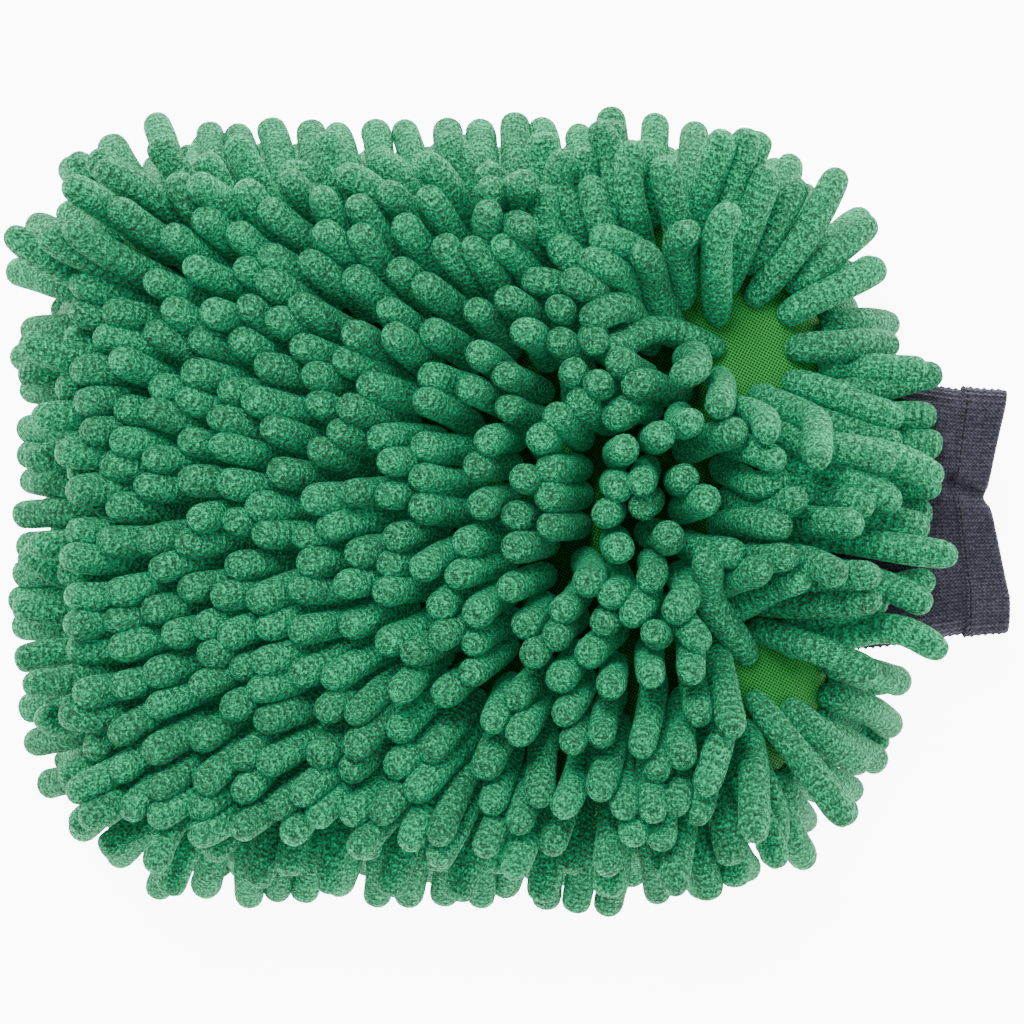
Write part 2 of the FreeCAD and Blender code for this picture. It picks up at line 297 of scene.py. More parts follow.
RIB_PITCH = 0.0021
STITCH_RUN = 0.0011
TOOTH_PITCH = 0.0019
CUFF_WALL = 0.0014
hem_low, hem_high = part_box("cuff_hem")
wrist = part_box("cuff_join_stitching")[1][0]

body_half_width = cuff_half_width - cuff_half_depth


def cuff_section(part):
    """The flattened oval of the cuff at a part of its girth, with the way out."""
    arc = math.pi * cuff_half_depth
    flat = 2 * body_half_width
    run = part * 2 * (arc + flat)
    for side in (1, -1):
        if run < flat:
            return Vector((side * (body_half_width - run), side * cuff_half_depth)), Vector(
                (0, side))
        run -= flat
        if run < arc:
            turn = run / cuff_half_depth
            out = Vector((-math.sin(turn), math.cos(turn))) * side
            return Vector((-side * body_half_width, 0)) + out * cuff_half_depth, out
        run -= arc
    return Vector((body_half_width, cuff_half_depth)), Vector((0, 1))


girth = 2 * (math.pi * cuff_half_depth + 2 * body_half_width)
rib_count = round(girth / RIB_PITCH)
CREASE_Y = 0.006
TAPER = 0.13
SAG = 0.005


def smooth_step(value):
    value = min(max(value, 0.0), 1.0)
    return value * value * (3 - 2 * value)


def lie_as_worn(x, y, z):
    """Where a point of the straight cuff lies once the knit has sagged and creased."""
    out = min(max((x - wrist) / (hem_high[0] - wrist), 0.0), 1.0)
    free = smooth_step(out)
    crease = CREASE_Y + 0.010 * (1 - out)
    folded = smooth_step((y - crease) / 0.0035)
    flatten = 1 - 0.30 * free
    height = (z - middle) * flatten
    lift = 0.0058 * free * folded - 0.0012 * free * math.exp(-((y - crease) / 0.004) ** 2)
    drawn = 0.0008 * folded + 0.0062 * max(0.0, 1 - abs(y - crease) / 0.032)
    back = free * (drawn + 0.0012 * math.exp(-((y - crease + 0.002) / 0.002) ** 2))
    wave = 0.0010 * free * math.sin(y * 140 + x * 60)
    return Vector((x - back * out, y * (1 - TAPER * free), middle + height + lift + wave
                   - SAG * free * free))


def knit_tube(name, path, wall, rib_depth):
    """A ribbed tube about the wrist, through places along it and their heights off it."""
    shape = bmesh.new()
    stitches = shape.loops.layers.uv.new("knit")
    way = shape.verts.layers.float_vector.new("way_out")
    around = rib_count * 4
    bmesh.ops.create_circle(shape, segments=around, radius=1.0, cap_ends=False)
    shape.verts.ensure_lookup_table()
    for i, vertex in enumerate(shape.verts):
        spot, out = cuff_section(i / around)
        rib = path[0][1] + rib_depth * math.cos(2 * math.pi * i / 4 + 0.6)
        vertex.co = (path[0][0], spot.x + out.x * rib, middle + spot.y + out.y * rib)
        vertex[way] = (out.x, out.y, 0)
    edges = list(shape.edges)
    for (x, height), (next_x, next_height) in zip(path, path[1:]):
        grown = bmesh.ops.extrude_edge_only(shape, edges=edges)["geom"]
        edges = [g for g in grown if isinstance(g, bmesh.types.BMEdge)
                 and all(v in grown for v in g.verts)]
        moved = [g for g in grown if isinstance(g, bmesh.types.BMVert)]
        edges = [e for e in edges if all(v in moved for v in e.verts)]
        for vertex in moved:
            out = vertex[way] * (next_height - height)
            vertex.co += Vector((next_x - x, out.x, out.y))
    for face in shape.faces:
        for loop in face.loops:
            spot = loop.vert.co
            loop[stitches].uv = (2 * spot.y / RIB_PITCH, (spot.x - wrist) / STITCH_RUN)
    # The rib's loops stand out along both folds, so they look toothed.
    for vertex in shape.verts:
        fold = max(0.0, abs(vertex[way].x) - 0.5) * 2
        tooth = max(0.0, math.sin(2 * math.pi * vertex.co.x / TOOTH_PITCH)) ** 2
        vertex.co.y += math.copysign(0.00055 * fold * tooth, vertex.co.y)
        vertex.co = lie_as_worn(*vertex.co)
    bmesh.ops.recalc_face_normals(shape, faces=shape.faces)
    centre = Vector((0, 0, middle))
    outward = sum((f.calc_center_median() - centre).dot(Vector((0, *f.normal[1:])))
                  for f in shape.faces)
    if outward < 0:
        bmesh.ops.reverse_faces(shape, faces=shape.faces)
    smooth(shape)
    mesh = bpy.data.meshes.new(name)
    shape.to_mesh(mesh)
    shape.free()
    tube = new_object(name, mesh)
    thick = tube.modifiers.new("wall", "SOLIDIFY")
    thick.thickness = wall
    thick.offset = -1
    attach(tube, "root")
    return tube


rib_material, tree, surface = cloth_material(
    "black_rib_knit", 0.85, sheen=0.06, sheen_tint=(0.75, 0.75, 1.0))
place = add_node(tree, "ShaderNodeTexCoord")
yarn = add_node(tree, "ShaderNodeTexNoise",
                inputs={"Scale": 1100.0, "Detail": 3.0, "Roughness": 0.6})
tree.links.new(place.outputs["Object"], yarn.inputs["Vector"])
knit_map = add_node(tree, "ShaderNodeUVMap", uv_map="knit")
split = add_node(tree, "ShaderNodeSeparateXYZ")
tree.links.new(knit_map.outputs["UV"], split.inputs["Vector"])
within = add_node(tree, "ShaderNodeMath", operation="PINGPONG", inputs={1: 0.5})
tree.links.new(split.outputs["X"], within.inputs[0])
chevron = add_node(tree, "ShaderNodeMath", operation="MULTIPLY_ADD", inputs={1: 1.6})
tree.links.new(within.outputs["Value"], chevron.inputs[0])
tree.links.new(split.outputs["Y"], chevron.inputs[2])
loops = add_node(tree, "ShaderNodeMath", operation="PINGPONG", inputs={1: 0.5})
tree.links.new(chevron.outputs["Value"], loops.inputs[0])
knit_height = add_node(tree, "ShaderNodeMath", operation="MULTIPLY_ADD", inputs={1: 0.7})
tree.links.new(loops.outputs["Value"], knit_height.inputs[0])
rib_height = add_node(tree, "ShaderNodeMath", operation="MULTIPLY_ADD", inputs={1: 0.45})
tree.links.new(within.outputs["Value"], rib_height.inputs[0])
tree.links.new(yarn.outputs["Fac"], rib_height.inputs[2])
tree.links.new(rib_height.outputs["Value"], knit_height.inputs[2])
rib_dye = add_node(tree, "ShaderNodeValToRGB")
blend_stops(rib_dye, (0.55, (0.0045, 0.0040, 0.0070)), (0.82, (0.0210, 0.0200, 0.0310)),
            (1.0, (0.0500, 0.0480, 0.0680)))
tree.links.new(knit_height.outputs["Value"], rib_dye.inputs["Fac"])
tree.links.new(rib_dye.outputs["Color"], surface.inputs["Base Color"])
rib_relief = add_node(tree, "ShaderNodeBump", inputs={"Strength": 1.0, "Distance": 0.0005})
tree.links.new(knit_height.outputs["Value"], rib_relief.inputs["Height"])
tree.links.new(rib_relief.outputs["Normal"], surface.inputs["Normal"])

cuff_end = hem_low[0] + 0.001
cuff = knit_tube("cuff_rib", [(cuff_low[0] + (cuff_end - cuff_low[0]) * i / 100, 0.0)
                              for i in range(101)], CUFF_WALL, 0.00022)
cuff.data.materials.append(rib_material)
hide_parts("cuff")

# --------------------------------------------------------------------- turned hem
# The same rib knit, turned back on itself over the elastic, so it is twice as thick
# and its ribs stand prouder. A line of stitches holds it down.

HEM_WALL = 0.0010
HEM_HEIGHTS = (0.0009, -0.0020)         # of its outer and its inner faces
HEM_MIDDLE = -0.00055
HEM_TURN_RADIUS = 0.00145
hem_turn = hem_high[0] - HEM_TURN_RADIUS
hem_path = [(hem_low[0] + (hem_turn - hem_low[0]) * i / 20, HEM_HEIGHTS[0])
            for i in range(21)]
for i in range(1, 6):
    turn = math.pi * i / 6
    hem_path.append((hem_turn + HEM_TURN_RADIUS * math.sin(turn),
                     HEM_MIDDLE + HEM_TURN_RADIUS * math.cos(turn)))
hem_path += [(x, HEM_HEIGHTS[1]) for x, _ in reversed(hem_path[:21:2])]
hem = knit_tube("cuff_hem_rib", hem_path, HEM_WALL, 0.00030)
hem.data.materials.append(rib_material)
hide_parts("cuff_hem")

# ------------------------------------------------------------------------ elastic
# A flat band of black woven elastic, caught inside the turned hem. It draws the mouth
# of the cuff in.

ELASTIC_WALL = 0.0007
ELASTIC_DEPTH = -0.0002    # how its middle lies against the outside of the cuff
elastic_low, elastic_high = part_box("cuff_elastic")
elastic_path = [(elastic_low[0] + (elastic_high[0] - elastic_low[0]) * i / 5, ELASTIC_DEPTH)
                for i in range(6)]
elastic = knit_tube("elastic_band", elastic_path, ELASTIC_WALL, 0.00003)
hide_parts("cuff_elastic")
elastic_material, tree, surface = cloth_material("woven_elastic", 0.7)
surface.inputs["Base Color"].default_value = (0.006, 0.006, 0.006, 1)
elastic.data.materials.append(elastic_material)

# ------------------------------------------------------------------------- stitching
# Black thread: one ring of short stitches holds the hem down, and another joins the
# cuff to the mouth of the bag.

STITCH_PITCH = 0.0024
STITCH_LENGTH = 0.0021
THREAD_RADIUS = 0.00032

thread_material, tree, surface = cloth_material("black_thread", 0.6)
surface.inputs["Base Color"].default_value = (0.0035, 0.0035, 0.0040, 1)


def stitch_ring(node, x, height):
    """A ring of stitches round the cuff, lying on the knit at a place along it."""
    shape = bmesh.new()
    count = round(girth / STITCH_PITCH)
    for i in range(count):
        spot, out = cuff_section((i + 0.5) / count)
        along = Vector((-out.y, out.x))
        made = bmesh.ops.create_uvsphere(shape, u_segments=6, v_segments=4, radius=1.0)
        for vertex in made["verts"]:
            a, b, c = vertex.co
            flat = (spot + along * c * STITCH_LENGTH / 2
                    + out * (height + b * THREAD_RADIUS))
            vertex.co = lie_as_worn(x + a * THREAD_RADIUS, flat.x, middle + flat.y)
    bmesh.ops.recalc_face_normals(shape, faces=shape.faces)
    smooth(shape)
    mesh = bpy.data.meshes.new(node + "_thread")
    shape.to_mesh(mesh)
    shape.free()
    ring = new_object(node + "_thread", mesh)
    mesh.materials.append(thread_material)
    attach(ring, "root")
    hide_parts(node)


stitch_ring("hem_stitching", hem_low[0] + 0.0012, 0.0010)
stitch_ring("cuff_join_stitching", wrist, 0.0003)

# ------------------------------------------------------------------------ edge seam
# The bead of overlocked mesh where the two panels meet, from one side of the cuff
# round the finger end to the other. It is a soft oval rope, stitched through.

SEAM_DEPTH = 0.0024
SEAM_STEPS = 260


def seam_path():
    """Places round the bag's edge with the way out, from mouth to mouth."""
    start = math.atan2(cuff_half_width + 0.001, half_length)
    for i in range(SEAM_STEPS + 1):
        turn = start + (2 * math.pi - 2 * start) * i / SEAM_STEPS
        way_x, way_y = math.cos(turn) / half_length, math.sin(turn) / half_width
        most = max(abs(way_x), abs(way_y))
        core, out = rim_point(way_x / most, way_y / most)
        yield core + out * RIM_RADIUS, out


seam_shape = bmesh.new()
bmesh.ops.create_circle(seam_shape, segments=10, radius=1.0, cap_ends=False)
edges = list(seam_shape.edges)
around = [Vector(v.co) for v in seam_shape.verts]
ring = list(seam_shape.verts)
for i, (spot, out) in enumerate(seam_path()):
    if i:
        grown = bmesh.ops.extrude_edge_only(seam_shape, edges=edges)["geom"]
        ring = [g for g in grown if isinstance(g, bmesh.types.BMVert)]
        edges = [g for g in grown if isinstance(g, bmesh.types.BMEdge)
                 and all(v in ring for v in g.verts)]
    swell = 1 + 0.10 * math.sin(i * 1.9)
    for vertex, part in zip(ring, around):
        flat = spot + out * (part.x * SEAM_WIDTH * swell - 0.0001)
        vertex.co = (plan_centre + flat.x, flat.y,
                     middle + part.y * SEAM_DEPTH / 2 * swell)
bmesh.ops.holes_fill(seam_shape, edges=[e for e in seam_shape.edges if e.is_boundary])
bmesh.ops.recalc_face_normals(seam_shape, faces=seam_shape.faces)
smooth(seam_shape)
seam_mesh = bpy.data.meshes.new("edge_seam_bead")
seam_shape.to_mesh(seam_mesh)
seam_shape.free()
seam_mesh.materials.append(backing_material)
seam = new_object("edge_seam_bead", seam_mesh)
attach(seam, "root")
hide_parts("edge_seam")

# ------------------------------------------------------------------------ noodle pile
# Each noodle is a tuft of microfibre loops twisted into a soft round rod, rooted in
# the mesh backing. They are limp enough to lie over and thick enough to hold each
# other up, so they are settled by a small simulation before they are meshed.

NOODLE_RADIUS = 0.0038
NOODLE_LENGTHS = (0.0295, 0.0345)     # from the root to the middle of the round tip
NOODLE_PITCH = 0.0078
SPINE_LINKS = 6
RIM_CLEARANCE = 0.0032
SIDE_PITCH = 0.0086

chance = np.random.default_rng(7)


def edge_depth(points):
    """How far plan points lie inside the bag's edge, and the ways out to that edge."""
    side = np.where(points[..., :2] >= (plan_centre, 0), 1.0, -1.0)
    radius = np.where(side[..., 0] > 0, WRIST_RADIUS, FINGER_RADIUS)
    reach = np.abs(points[..., :2] - (plan_centre, 0))
    over = reach - (half_length, half_width) + radius[..., None]
    corner = (over[..., 0] > 0) & (over[..., 1] > 0)
    length = np.maximum(np.hypot(over[..., 0], over[..., 1]), 1e-9)
    along_x = over[..., 0] > over[..., 1]
    depth = radius - np.where(corner, length, np.maximum(over[..., 0], over[..., 1]))
    out_x = np.where(corner, over[..., 0] / length, along_x)
    out_y = np.where(corner, over[..., 1] / length, ~along_x)
    return depth, np.stack((out_x * side[..., 0], out_y * side[..., 1]), -1)


rows = {}          # CAD node name -> list of (root, direction, face)
row_count = sum(name.startswith("upper_noodle_row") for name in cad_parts)
row_pitch = ((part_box("upper_noodle_row_14")[0][0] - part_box("upper_noodle_row_06")[0][0]) / 8)
for face, side in ((1, "upper"), (-1, "lower")):
    for number in range(1, row_count + 1):
        row_x = plan_centre + (number - (row_count + 1) / 2) * row_pitch
        spread = 2 * (half_width - RIM_CLEARANCE) - NOODLE_PITCH * (number % 2)
        count = int(spread / NOODLE_PITCH) + 1
        roots = []
        for place in range(count):
            y = (place - (count - 1) / 2) * NOODLE_PITCH
            spot = np.array((row_x, y)) + chance.normal(0, 0.0007, 2)
            depth, out = edge_depth(spot)
            if depth < RIM_CLEARANCE:
                continue
            sine = max(0.0, RIM_RADIUS - depth) / RIM_RADIUS
            cosine = math.sqrt(1 - sine * sine)
            rise = half_thickness - RIM_RADIUS + RIM_RADIUS * cosine
            root = (spot[0], spot[1], middle + face * rise)
            roots.append((root, (out[0] * sine, out[1] * sine, face * cosine), face))
        rows[f"{side}_noodle_row_{number:02d}"] = roots


def rim_spots():
    """Points round half of the bag's edge, from the cuff to the finger end."""
    mouth = cuff_half_width + 2 * NOODLE_RADIUS
    straight = 2 * half_length - FINGER_RADIUS - WRIST_RADIUS
    lengths = [half_width - WRIST_RADIUS - mouth, WRIST_RADIUS * math.pi / 2, straight,
               FINGER_RADIUS * math.pi / 2, half_width - FINGER_RADIUS]
    count = int(sum(lengths) / SIDE_PITCH)
    front = plan_centre + half_length
    back = plan_centre - half_length
    for i in range(count + 1):
        run = sum(lengths) * i / count
        part = 0
        while run > lengths[part] + 1e-9:
            run -= lengths[part]
            part += 1
        turn = run / (WRIST_RADIUS if part == 1 else FINGER_RADIUS)
        if part == 0:
            yield (front, mouth + run), (1, 0)
        elif part == 1:
            out = (math.cos(turn), math.sin(turn))
            yield (front - WRIST_RADIUS * (1 - out[0]),
                   half_width - WRIST_RADIUS * (1 - out[1])), out
        elif part == 2:
            yield (front - WRIST_RADIUS - run, half_width), (0, 1)
        elif part == 3:
            out = (-math.sin(turn), math.cos(turn))
            yield (back + FINGER_RADIUS * (1 + out[0]),
                   half_width - FINGER_RADIUS * (1 - out[1])), out
        else:
            yield (back, half_width - FINGER_RADIUS - run), (-1, 0)


RIM_RANKS = ((0.0, 0), (0.62, 1), (-0.62, -1))     # angle above the seam, face
RIM_DROOP = 0.80                                   # they hang by this angle
for number, (spot, out) in enumerate(rim_spots()):
    for mirror, hand in ((1, "right"), (-1, "left")):
        if mirror < 0 and spot[1] < 1e-6:
            continue
        group = f"{hand}_side_noodles"
        if out[0] < -math.sqrt(0.5):
            group = "finger_end_noodles"
        elif out[0] > math.sqrt(0.5):
            group = f"{hand}_shoulder_noodles"
        for angle, face in RIM_RANKS:
            droop = angle - RIM_DROOP
            inset = RIM_RADIUS * (1 - math.cos(angle)) - SEAM_WIDTH
            stagger = (0.5 if face else 0.0) * SIDE_PITCH
            root = (spot[0] - inset * out[0] - stagger * out[1],
                    mirror * (spot[1] - inset * out[1] + stagger * out[0]),
                    middle + RIM_RADIUS * math.sin(angle))
            way = (out[0] * math.cos(droop), mirror * out[1] * math.cos(droop),
                   math.sin(droop))
            rows.setdefault(group, []).append((root, way, face))

# No upper noodle is rooted in the middle of the two bare partings.
BARE_SPOTS = ((0.077, 0.043), (0.082, -0.044))
BARE_RADIUS = 0.0065
for name, roots in rows.items():
    if name.startswith("upper"):
        rows[name] = [tuft for tuft in roots if all(
            math.hypot(tuft[0][0] - plan_centre - x, tuft[0][1] - y) > BARE_RADIUS
            for x, y in BARE_SPOTS)]
tufts = [(name, *tuft) for name, roots in rows.items() for tuft in roots]
root_of = np.array([t[1] for t in tufts])
way_of = np.array([t[2] for t in tufts])
face_of = np.array([t[3] for t in tufts])

# Lower and rim noodles are shorter; those by one corner, the cuff and the partings longer.
LOWER_SHARE = 0.72
RIM_SHARE = 0.68
CORNER_EXTRA = 0.38
WRIST_EXTRA = 0.24
PARTING_EXTRA = 0.20
length_of = chance.uniform(*NOODLE_LENGTHS, len(tufts))
depth_of = edge_depth(root_of)[0]
rim_tuft = depth_of < 1.2 * RIM_RADIUS
length_of *= np.where(face_of < 0, LOWER_SHARE, np.where(rim_tuft, RIM_SHARE, 1.0))
far_corner = np.clip(edge_depth(root_of)[1] @ (-0.7, 0.7) * 4 - 3, 0, 1) * (depth_of < 0.030)
length_of *= 1 + CORNER_EXTRA * far_corner
wristward = np.clip((root_of[:, 0] - 0.045) / 0.030, 0, 1)
length_of *= 1 + WRIST_EXTRA * wristward * (face_of >= 0)
size_of = chance.uniform(1.00, 1.13, len(tufts))

# How the pile was last brushed: away from a whorl, and away from two bare partings.
whorl = np.array((plan_centre + 0.26 * 2 * half_length, 0.0))
PARTINGS = ((0.075, 0.043, 0.025), (0.080, -0.045, 0.023))
away = (root_of[:, :2] - whorl) * (1.0, 0.8)
reach = np.linalg.norm(away, axis=1, keepdims=True)
full = np.where(away[:, :1] > 0, 0.045, 0.080)     # where they lie right over
brush = away / np.maximum(reach, 1e-6) * np.clip(reach / full, 0, 1) ** 1.1
edge_near = np.clip(1 - depth_of / 0.045, 0, 1)[:, None]
brush += 0.55 * edge_near * edge_depth(root_of)[1]
brush *= np.where(rim_tuft, 0.55, 1.0)[:, None]
brush += chance.normal(0, 0.15, brush.shape)
parted = np.zeros(len(tufts))
for x, y, size in PARTINGS:
    away = root_of[:, :2] - (plan_centre + x, y)
    reach = np.linalg.norm(away, axis=1, keepdims=True)
    near = np.exp(-(reach / size) ** 2) * chance.uniform(0.2, 1.0, reach.shape)
    brush = brush * (1 - near) + 1.25 * near * away / np.maximum(reach, 1e-6)
    length_of *= 1 + PARTING_EXTRA * near[:, 0]
    parted = np.maximum(parted, near[:, 0])
laid = np.clip(parted + 0.7 * wristward, 0, 1)
way_of[:, :2] += brush * ((face_of > 0) * (0.40 + 0.65 * laid))[:, None]
way_of /= np.linalg.norm(way_of, axis=1, keepdims=True)

GRAVITY = 0.00012          # metres per step, per step
BRUSHING = 0.0007
STEPS = 170
# Noodles push each other apart at this distance between their middle lines. It is less
# than their thickness, so they overlap, the lower ones deeply.
LOWER_ROOM = 0.0056
UPPER_ROOM = 0.0071
link = np.arange(SPINE_LINKS + 1) / SPINE_LINKS
rest = length_of / SPINE_LINKS
start_way = way_of.copy()
start_way[:, :2] += brush * ((face_of > 0) * (1.0 + 1.6 * laid))[:, None]
start_way /= np.linalg.norm(start_way, axis=1, keepdims=True)
spine = root_of[:, None] + start_way[:, None] * (link * length_of[:, None])[..., None]
lower = face_of < 0
out_way = np.concatenate((edge_depth(root_of)[1], np.full((len(tufts), 1), -0.25)), 1)
spine[lower] = root_of[lower, None] + out_way[lower, None] * (
    (link * length_of[lower, None])[..., None])
spine[lower] += way_of[lower, None] * NOODLE_RADIUS
chain_of = np.repeat(np.arange(len(tufts)), SPINE_LINKS + 1)
place_of = np.tile(np.arange(SPINE_LINKS + 1), len(tufts))
face_at = face_of[chain_of]
speed = np.zeros_like(spine)
room = np.where(face_of < 0, LOWER_ROOM, UPPER_ROOM)


def touching(points, reach):
    tree = KDTree(len(points))
    for i, point in enumerate(points):
        tree.insert(point, i)
    tree.balance()
    pairs = [(i, j) for i, point in enumerate(points)
             for _, j, _ in tree.find_range(point, reach) if j > i]
    pairs = np.array(pairs)
    apart = (chain_of[pairs[:, 0]] != chain_of[pairs[:, 1]])
    return pairs[apart]


def keep_clear(points):
    """Moves spine points out of the floor, the bag and the cuff."""
    depth, out = edge_depth(points)
    beyond = np.maximum(RIM_RADIUS - depth, 0.0)
    rise = points[:, 2] - middle
    over = np.maximum(np.abs(rise) - (half_thickness - RIM_RADIUS), 0.0)
    up = np.where(face_at == 0, np.sign(rise), face_at)
    wrong = (face_at != 0) & (np.sign(rise) != face_at) & (beyond < RIM_RADIUS)
    over = np.where(wrong, 1e-4, over)
    reach = np.maximum(np.hypot(beyond, over), 1e-9)
    target = RIM_RADIUS + NOODLE_RADIUS * np.clip(place_of / 1.5, 0.05, 0.92)
    inside = reach < target
    push = np.where(inside, target - reach, 0.0) / reach
    points[:, :2] += out * (beyond * push)[:, None]
    points[:, 2] += up * over * push
    over_cuff = (points[:, 0] > plan_centre + half_length - 0.004) & (
        np.abs(points[:, 1]) < cuff_half_width + 0.5 * NOODLE_RADIUS)
    floor_of_cuff = cuff_half_depth + 0.9 * NOODLE_RADIUS
    low = over_cuff & (face_at > 0) & (points[:, 2] < middle + floor_of_cuff)
    points[low, 2] = middle + floor_of_cuff
    high = over_cuff & (face_at < 0) & (points[:, 2] > middle - floor_of_cuff)
    points[high, 2] = middle - floor_of_cuff
    points[:, 2] = np.maximum(points[:, 2], NOODLE_RADIUS * 1.2)


root_hold = np.where(rim_tuft, 0.08, 0.06)[:, None]
weight_of = np.where(rim_tuft & (face_of >= 0), 2.6, 1.0) + 3.0 * laid
curl_of = chance.normal(0, 0.00010, (len(tufts), 3)) * (1 + 2 * parted)[:, None]
for step in range(STEPS):
    brushing = BRUSHING * (1.0 if step < 0.7 * STEPS else 0.3)
    push = np.zeros_like(spine)
    push[..., 2] = -GRAVITY * weight_of[:, None]
    push[..., :2] += brushing * brush[:, None] * link[None, :, None] * (face_of > 0)[:, None, None]
    push[..., :2] += (0.35 * brushing * out_way[:, None, :2] * link[None, :, None]
                      * (face_of <= 0)[:, None, None])
    speed = 0.86 * speed + push
    before = spine.copy()
    spine += speed
    if step % 4 == 0:
        pairs = touching(spine.reshape(-1, 3), 0.0098)
        first, second = pairs.T
        least = 0.5 * (room[chain_of[first]] + room[chain_of[second]])
    for _ in range(4):
        flat = spine.reshape(-1, 3)
        gap = flat[second] - flat[first]
        length = np.maximum(np.linalg.norm(gap, axis=1), 1e-9)
        near = length < least
        move = gap[near] * (0.32 * (least[near] - length[near]) / length[near])[:, None]
        for axis in range(3):
            flat[:, axis] += (
                np.bincount(second[near], move[:, axis], len(flat))
                - np.bincount(first[near], move[:, axis], len(flat)))
        # Links keep their length and resist a bend; the root holds its own direction.
        for k in range(SPINE_LINKS):
            ahead = spine[:, k] + (
                way_of * rest[:, None] if k == 0 else spine[:, k] - spine[:, k - 1])
            ahead += curl_of * (k > 1)
            stiff = root_hold if k == 0 else 0.11
            spine[:, k + 1] += stiff * (ahead - spine[:, k + 1])
            run = spine[:, k + 1] - spine[:, k]
            long = np.maximum(np.linalg.norm(run, axis=1, keepdims=True), 1e-9)
            fix = run * (1 - rest[:, None] / long)
            spine[:, k + 1] -= fix * (1.0 if k == 0 else 0.6)
            if k:
                spine[:, k] += 0.4 * fix
        spine[:, 0] = root_of
        keep_clear(spine.reshape(-1, 3))
        spine[:, 0] = root_of
    speed = np.clip(spine - before, -0.0012, 0.0012)

# One noodle, stretched from a sphere: a narrow root, an even rod and a round tip.
NOODLE_SIDES = 8
STATIONS = ((-0.02, 0.0), (0.0, 0.70), (0.14, 0.96), (0.32, 1.0), (0.50, 1.0), (0.68, 1.0),
            (0.85, 1.0), (0.99, 1.02), (1.075, 0.91), (1.125, 0.55), (1.14, 0.0))
CAGE = 1.09            # a subdivided cage shrinks by this much

template = bmesh.new()
fibre = template.loops.layers.uv.new("fibre")
bmesh.ops.create_uvsphere(template, u_segments=NOODLE_SIDES, v_segments=len(STATIONS) - 1,
                          radius=1.0, calc_uvs=True)
ring_of = {}
for vertex in template.verts:
    latitude = math.asin(max(-1.0, min(1.0, vertex.co.z)))
    ring_of[vertex.index] = round((latitude / math.pi + 0.5) * (len(STATIONS) - 1))
for vertex in template.verts:
    run, width = STATIONS[ring_of[vertex.index]]
    flat = math.hypot(vertex.co.x, vertex.co.y)
    if width and flat:
        vertex.co.x *= width / flat
        vertex.co.y *= width / flat
    vertex.co.z = run
for face in template.faces:
    face.smooth = True
    for loop in face.loops:
        loop[fibre].uv.y = loop.vert.co.z
noodle_mesh = bpy.data.meshes.new("noodle")
template.to_mesh(noodle_mesh)
template.free()


def along_spine(nodes, run):
    """The point and direction at a part of the way along a spine, past its end too."""
    at = min(max(run, 0.0), 1.0) * SPINE_LINKS
    k = min(int(at), SPINE_LINKS - 1)
    u = at - k
    p1, p2 = nodes[k], nodes[k + 1]
    p0 = nodes[k - 1] if k else 2 * p1 - p2
    p3 = nodes[k + 2] if k + 2 <= SPINE_LINKS else 2 * p2 - p1
    point = 0.5 * (2 * p1 + (p2 - p0) * u + (2 * p0 - 5 * p1 + 4 * p2 - p3) * u * u
                   + (3 * p1 - p0 - 3 * p2 + p3) * u ** 3)
    way = 0.5 * ((p2 - p0) + 2 * (2 * p0 - 5 * p1 + 4 * p2 - p3) * u
                 + 3 * (3 * p1 - p0 - 3 * p2 + p3) * u * u)
    way /= max(np.linalg.norm(way), 1e-9)
    extra = run - min(max(run, 0.0), 1.0)
    return point, way, extra


def lay_noodle(shape, shade, nodes, length, size, tone):
    """Adds a noodle to a row's mesh, bent along its settled spine."""
    old = len(shape.verts)
    shape.from_mesh(noodle_mesh)
    shape.verts.ensure_lookup_table()
    frames = []
    side = Vector((0.3, 0.9, 0.2))
    for run, _ in STATIONS:
        point, way, extra = along_spine(nodes, run)
        way = Vector(way)
        side = (side - way * side.dot(way)).normalized()
        frames.append((Vector(point) + way * float(extra * length), side.copy(), way.cross(side)))
    for i in range(len(noodle_mesh.vertices)):
        vertex = shape.verts[old + i]
        station = min(range(len(STATIONS)), key=lambda s: abs(STATIONS[s][0] - vertex.co.z))
        centre, side, other = frames[station]
        radius = float(NOODLE_RADIUS * CAGE * size)
        vertex[shade] = tone
        lump = radius * float(chance.uniform(0.93, 1.08))
        vertex.co = centre + lump * (side * vertex.co.x + other * vertex.co.y)


# Clumps of cut fibre give the yarn a grain of about 0.7 mm, and the twist
# shows as slanting ridges round each noodle.
CLUMPS_PER_METRE = 1450.0
FIBRES_PER_METRE = 5200.0
TWIST_TURNS = 15
PAINTED_PILE_GLOW = 0.13           # painted glow: the noodles emit their own colour, standing in for light that passes through the fibres
pile_material, tree, surface = cloth_material(
    "microfibre_noodle", 0.92, sheen=0.04, sheen_tint=(0.2, 1.0, 0.5))
place = add_node(tree, "ShaderNodeTexCoord")
clumps = add_node(tree, "ShaderNodeTexNoise",
                  inputs={"Scale": CLUMPS_PER_METRE, "Detail": 2.5, "Roughness": 0.62})
fibres = add_node(tree, "ShaderNodeTexNoise",
                  inputs={"Scale": FIBRES_PER_METRE, "Detail": 1.0, "Roughness": 0.5})
for grain in (clumps, fibres):
    tree.links.new(place.outputs["Object"], grain.inputs["Vector"])
round_noodle = add_node(tree, "ShaderNodeUVMap", uv_map="fibre")
split = add_node(tree, "ShaderNodeSeparateXYZ")
tree.links.new(round_noodle.outputs["UV"], split.inputs["Vector"])
turns = add_node(tree, "ShaderNodeMath", operation="MULTIPLY_ADD", inputs={1: TWIST_TURNS})
tree.links.new(split.outputs["Y"], turns.inputs[0])
tree.links.new(split.outputs["X"], turns.inputs[2])
wobble = add_node(tree, "ShaderNodeMath", operation="MULTIPLY_ADD", inputs={1: 0.9})
tree.links.new(clumps.outputs["Fac"], wobble.inputs[0])
tree.links.new(turns.outputs["Value"], wobble.inputs[2])
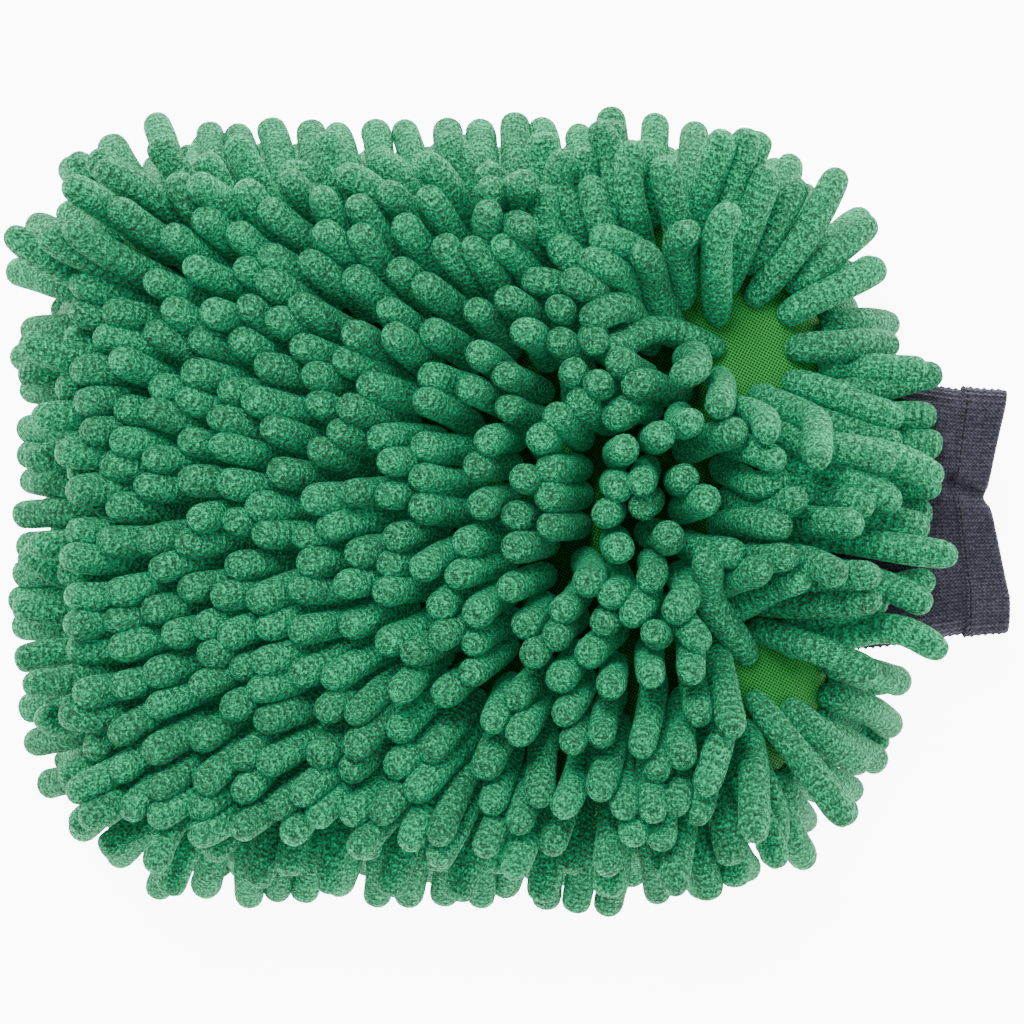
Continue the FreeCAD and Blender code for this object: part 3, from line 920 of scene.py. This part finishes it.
angle = add_node(tree, "ShaderNodeMath", operation="MULTIPLY", inputs={1: 2 * math.pi})
tree.links.new(wobble.outputs["Value"], angle.inputs[0])
ridge = add_node(tree, "ShaderNodeMath", operation="SINE")
tree.links.new(angle.outputs["Value"], ridge.inputs[0])
ridge_part = add_node(tree, "ShaderNodeMath", operation="MULTIPLY_ADD", inputs={1: 0.034})
tree.links.new(ridge.outputs["Value"], ridge_part.inputs[0])
tree.links.new(clumps.outputs["Fac"], ridge_part.inputs[2])
height = add_node(tree, "ShaderNodeMath", operation="MULTIPLY_ADD", inputs={1: 0.30})
tree.links.new(fibres.outputs["Fac"], height.inputs[0])
tree.links.new(ridge_part.outputs["Value"], height.inputs[2])
tone = add_node(tree, "ShaderNodeAttribute", attribute_name="tone")
lift = add_node(tree, "ShaderNodeMath", operation="MULTIPLY_ADD", inputs={1: 0.045})
tree.links.new(tone.outputs["Fac"], lift.inputs[0])
tree.links.new(height.outputs["Value"], lift.inputs[2])
# The noodle colour follows the same relief as the bump. Pits and grooves are painted darker
# (painted shade), and the tops of clumps and ridges are painted lighter (painted highlight). A
# random tone per noodle shifts it a little, and that part is real.
pile_dye_and_painted_shade = add_node(tree, "ShaderNodeValToRGB")
blend_stops(pile_dye_and_painted_shade, (0.50, (0.0100, 0.0380, 0.0190)), (0.60, (0.0155, 0.1120, 0.0475)),
            (0.70, (0.0165, 0.2350, 0.0960)), (0.83, (0.0100, 0.6200, 0.2500)))
tree.links.new(lift.outputs["Value"], pile_dye_and_painted_shade.inputs["Fac"])
tree.links.new(pile_dye_and_painted_shade.outputs["Color"], surface.inputs["Base Color"])
# Painted glow: the noodles emit their own colour. This stands in for light coming through the
# loose fibres and keeps the depth of the pile green.
tree.links.new(pile_dye_and_painted_shade.outputs["Color"], surface.inputs["Emission Color"])
surface.inputs["Emission Strength"].default_value = PAINTED_PILE_GLOW
relief = add_node(tree, "ShaderNodeBump", inputs={"Strength": 1.0, "Distance": 0.0028})
tree.links.new(height.outputs["Value"], relief.inputs["Height"])
tree.links.new(relief.outputs["Normal"], surface.inputs["Normal"])

start = 0
pile_rows = {1: [], 0: [], -1: []}
for name, roots in rows.items():
    shape = bmesh.new()
    shape.loops.layers.uv.new("fibre")
    shade = shape.verts.layers.float.new("tone")
    for i in range(start, start + len(roots)):
        lay_noodle(shape, shade, spine[i], length_of[i], size_of[i], chance.uniform(0, 1))
    start += len(roots)
    mesh = bpy.data.meshes.new(name + "_pile")
    shape.to_mesh(mesh)
    shape.free()
    mesh.materials.append(pile_material)
    row = new_object(name + "_pile", mesh)
    finer = row.modifiers.new("rounding", "SUBSURF")
    finer.levels = 1
    finer.render_levels = 1
    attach(row, "root")
    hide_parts(name)
    pile_rows[-1 if name.startswith("lower") else 1].append(row)

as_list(pile_rows[1])
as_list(pile_rows[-1])
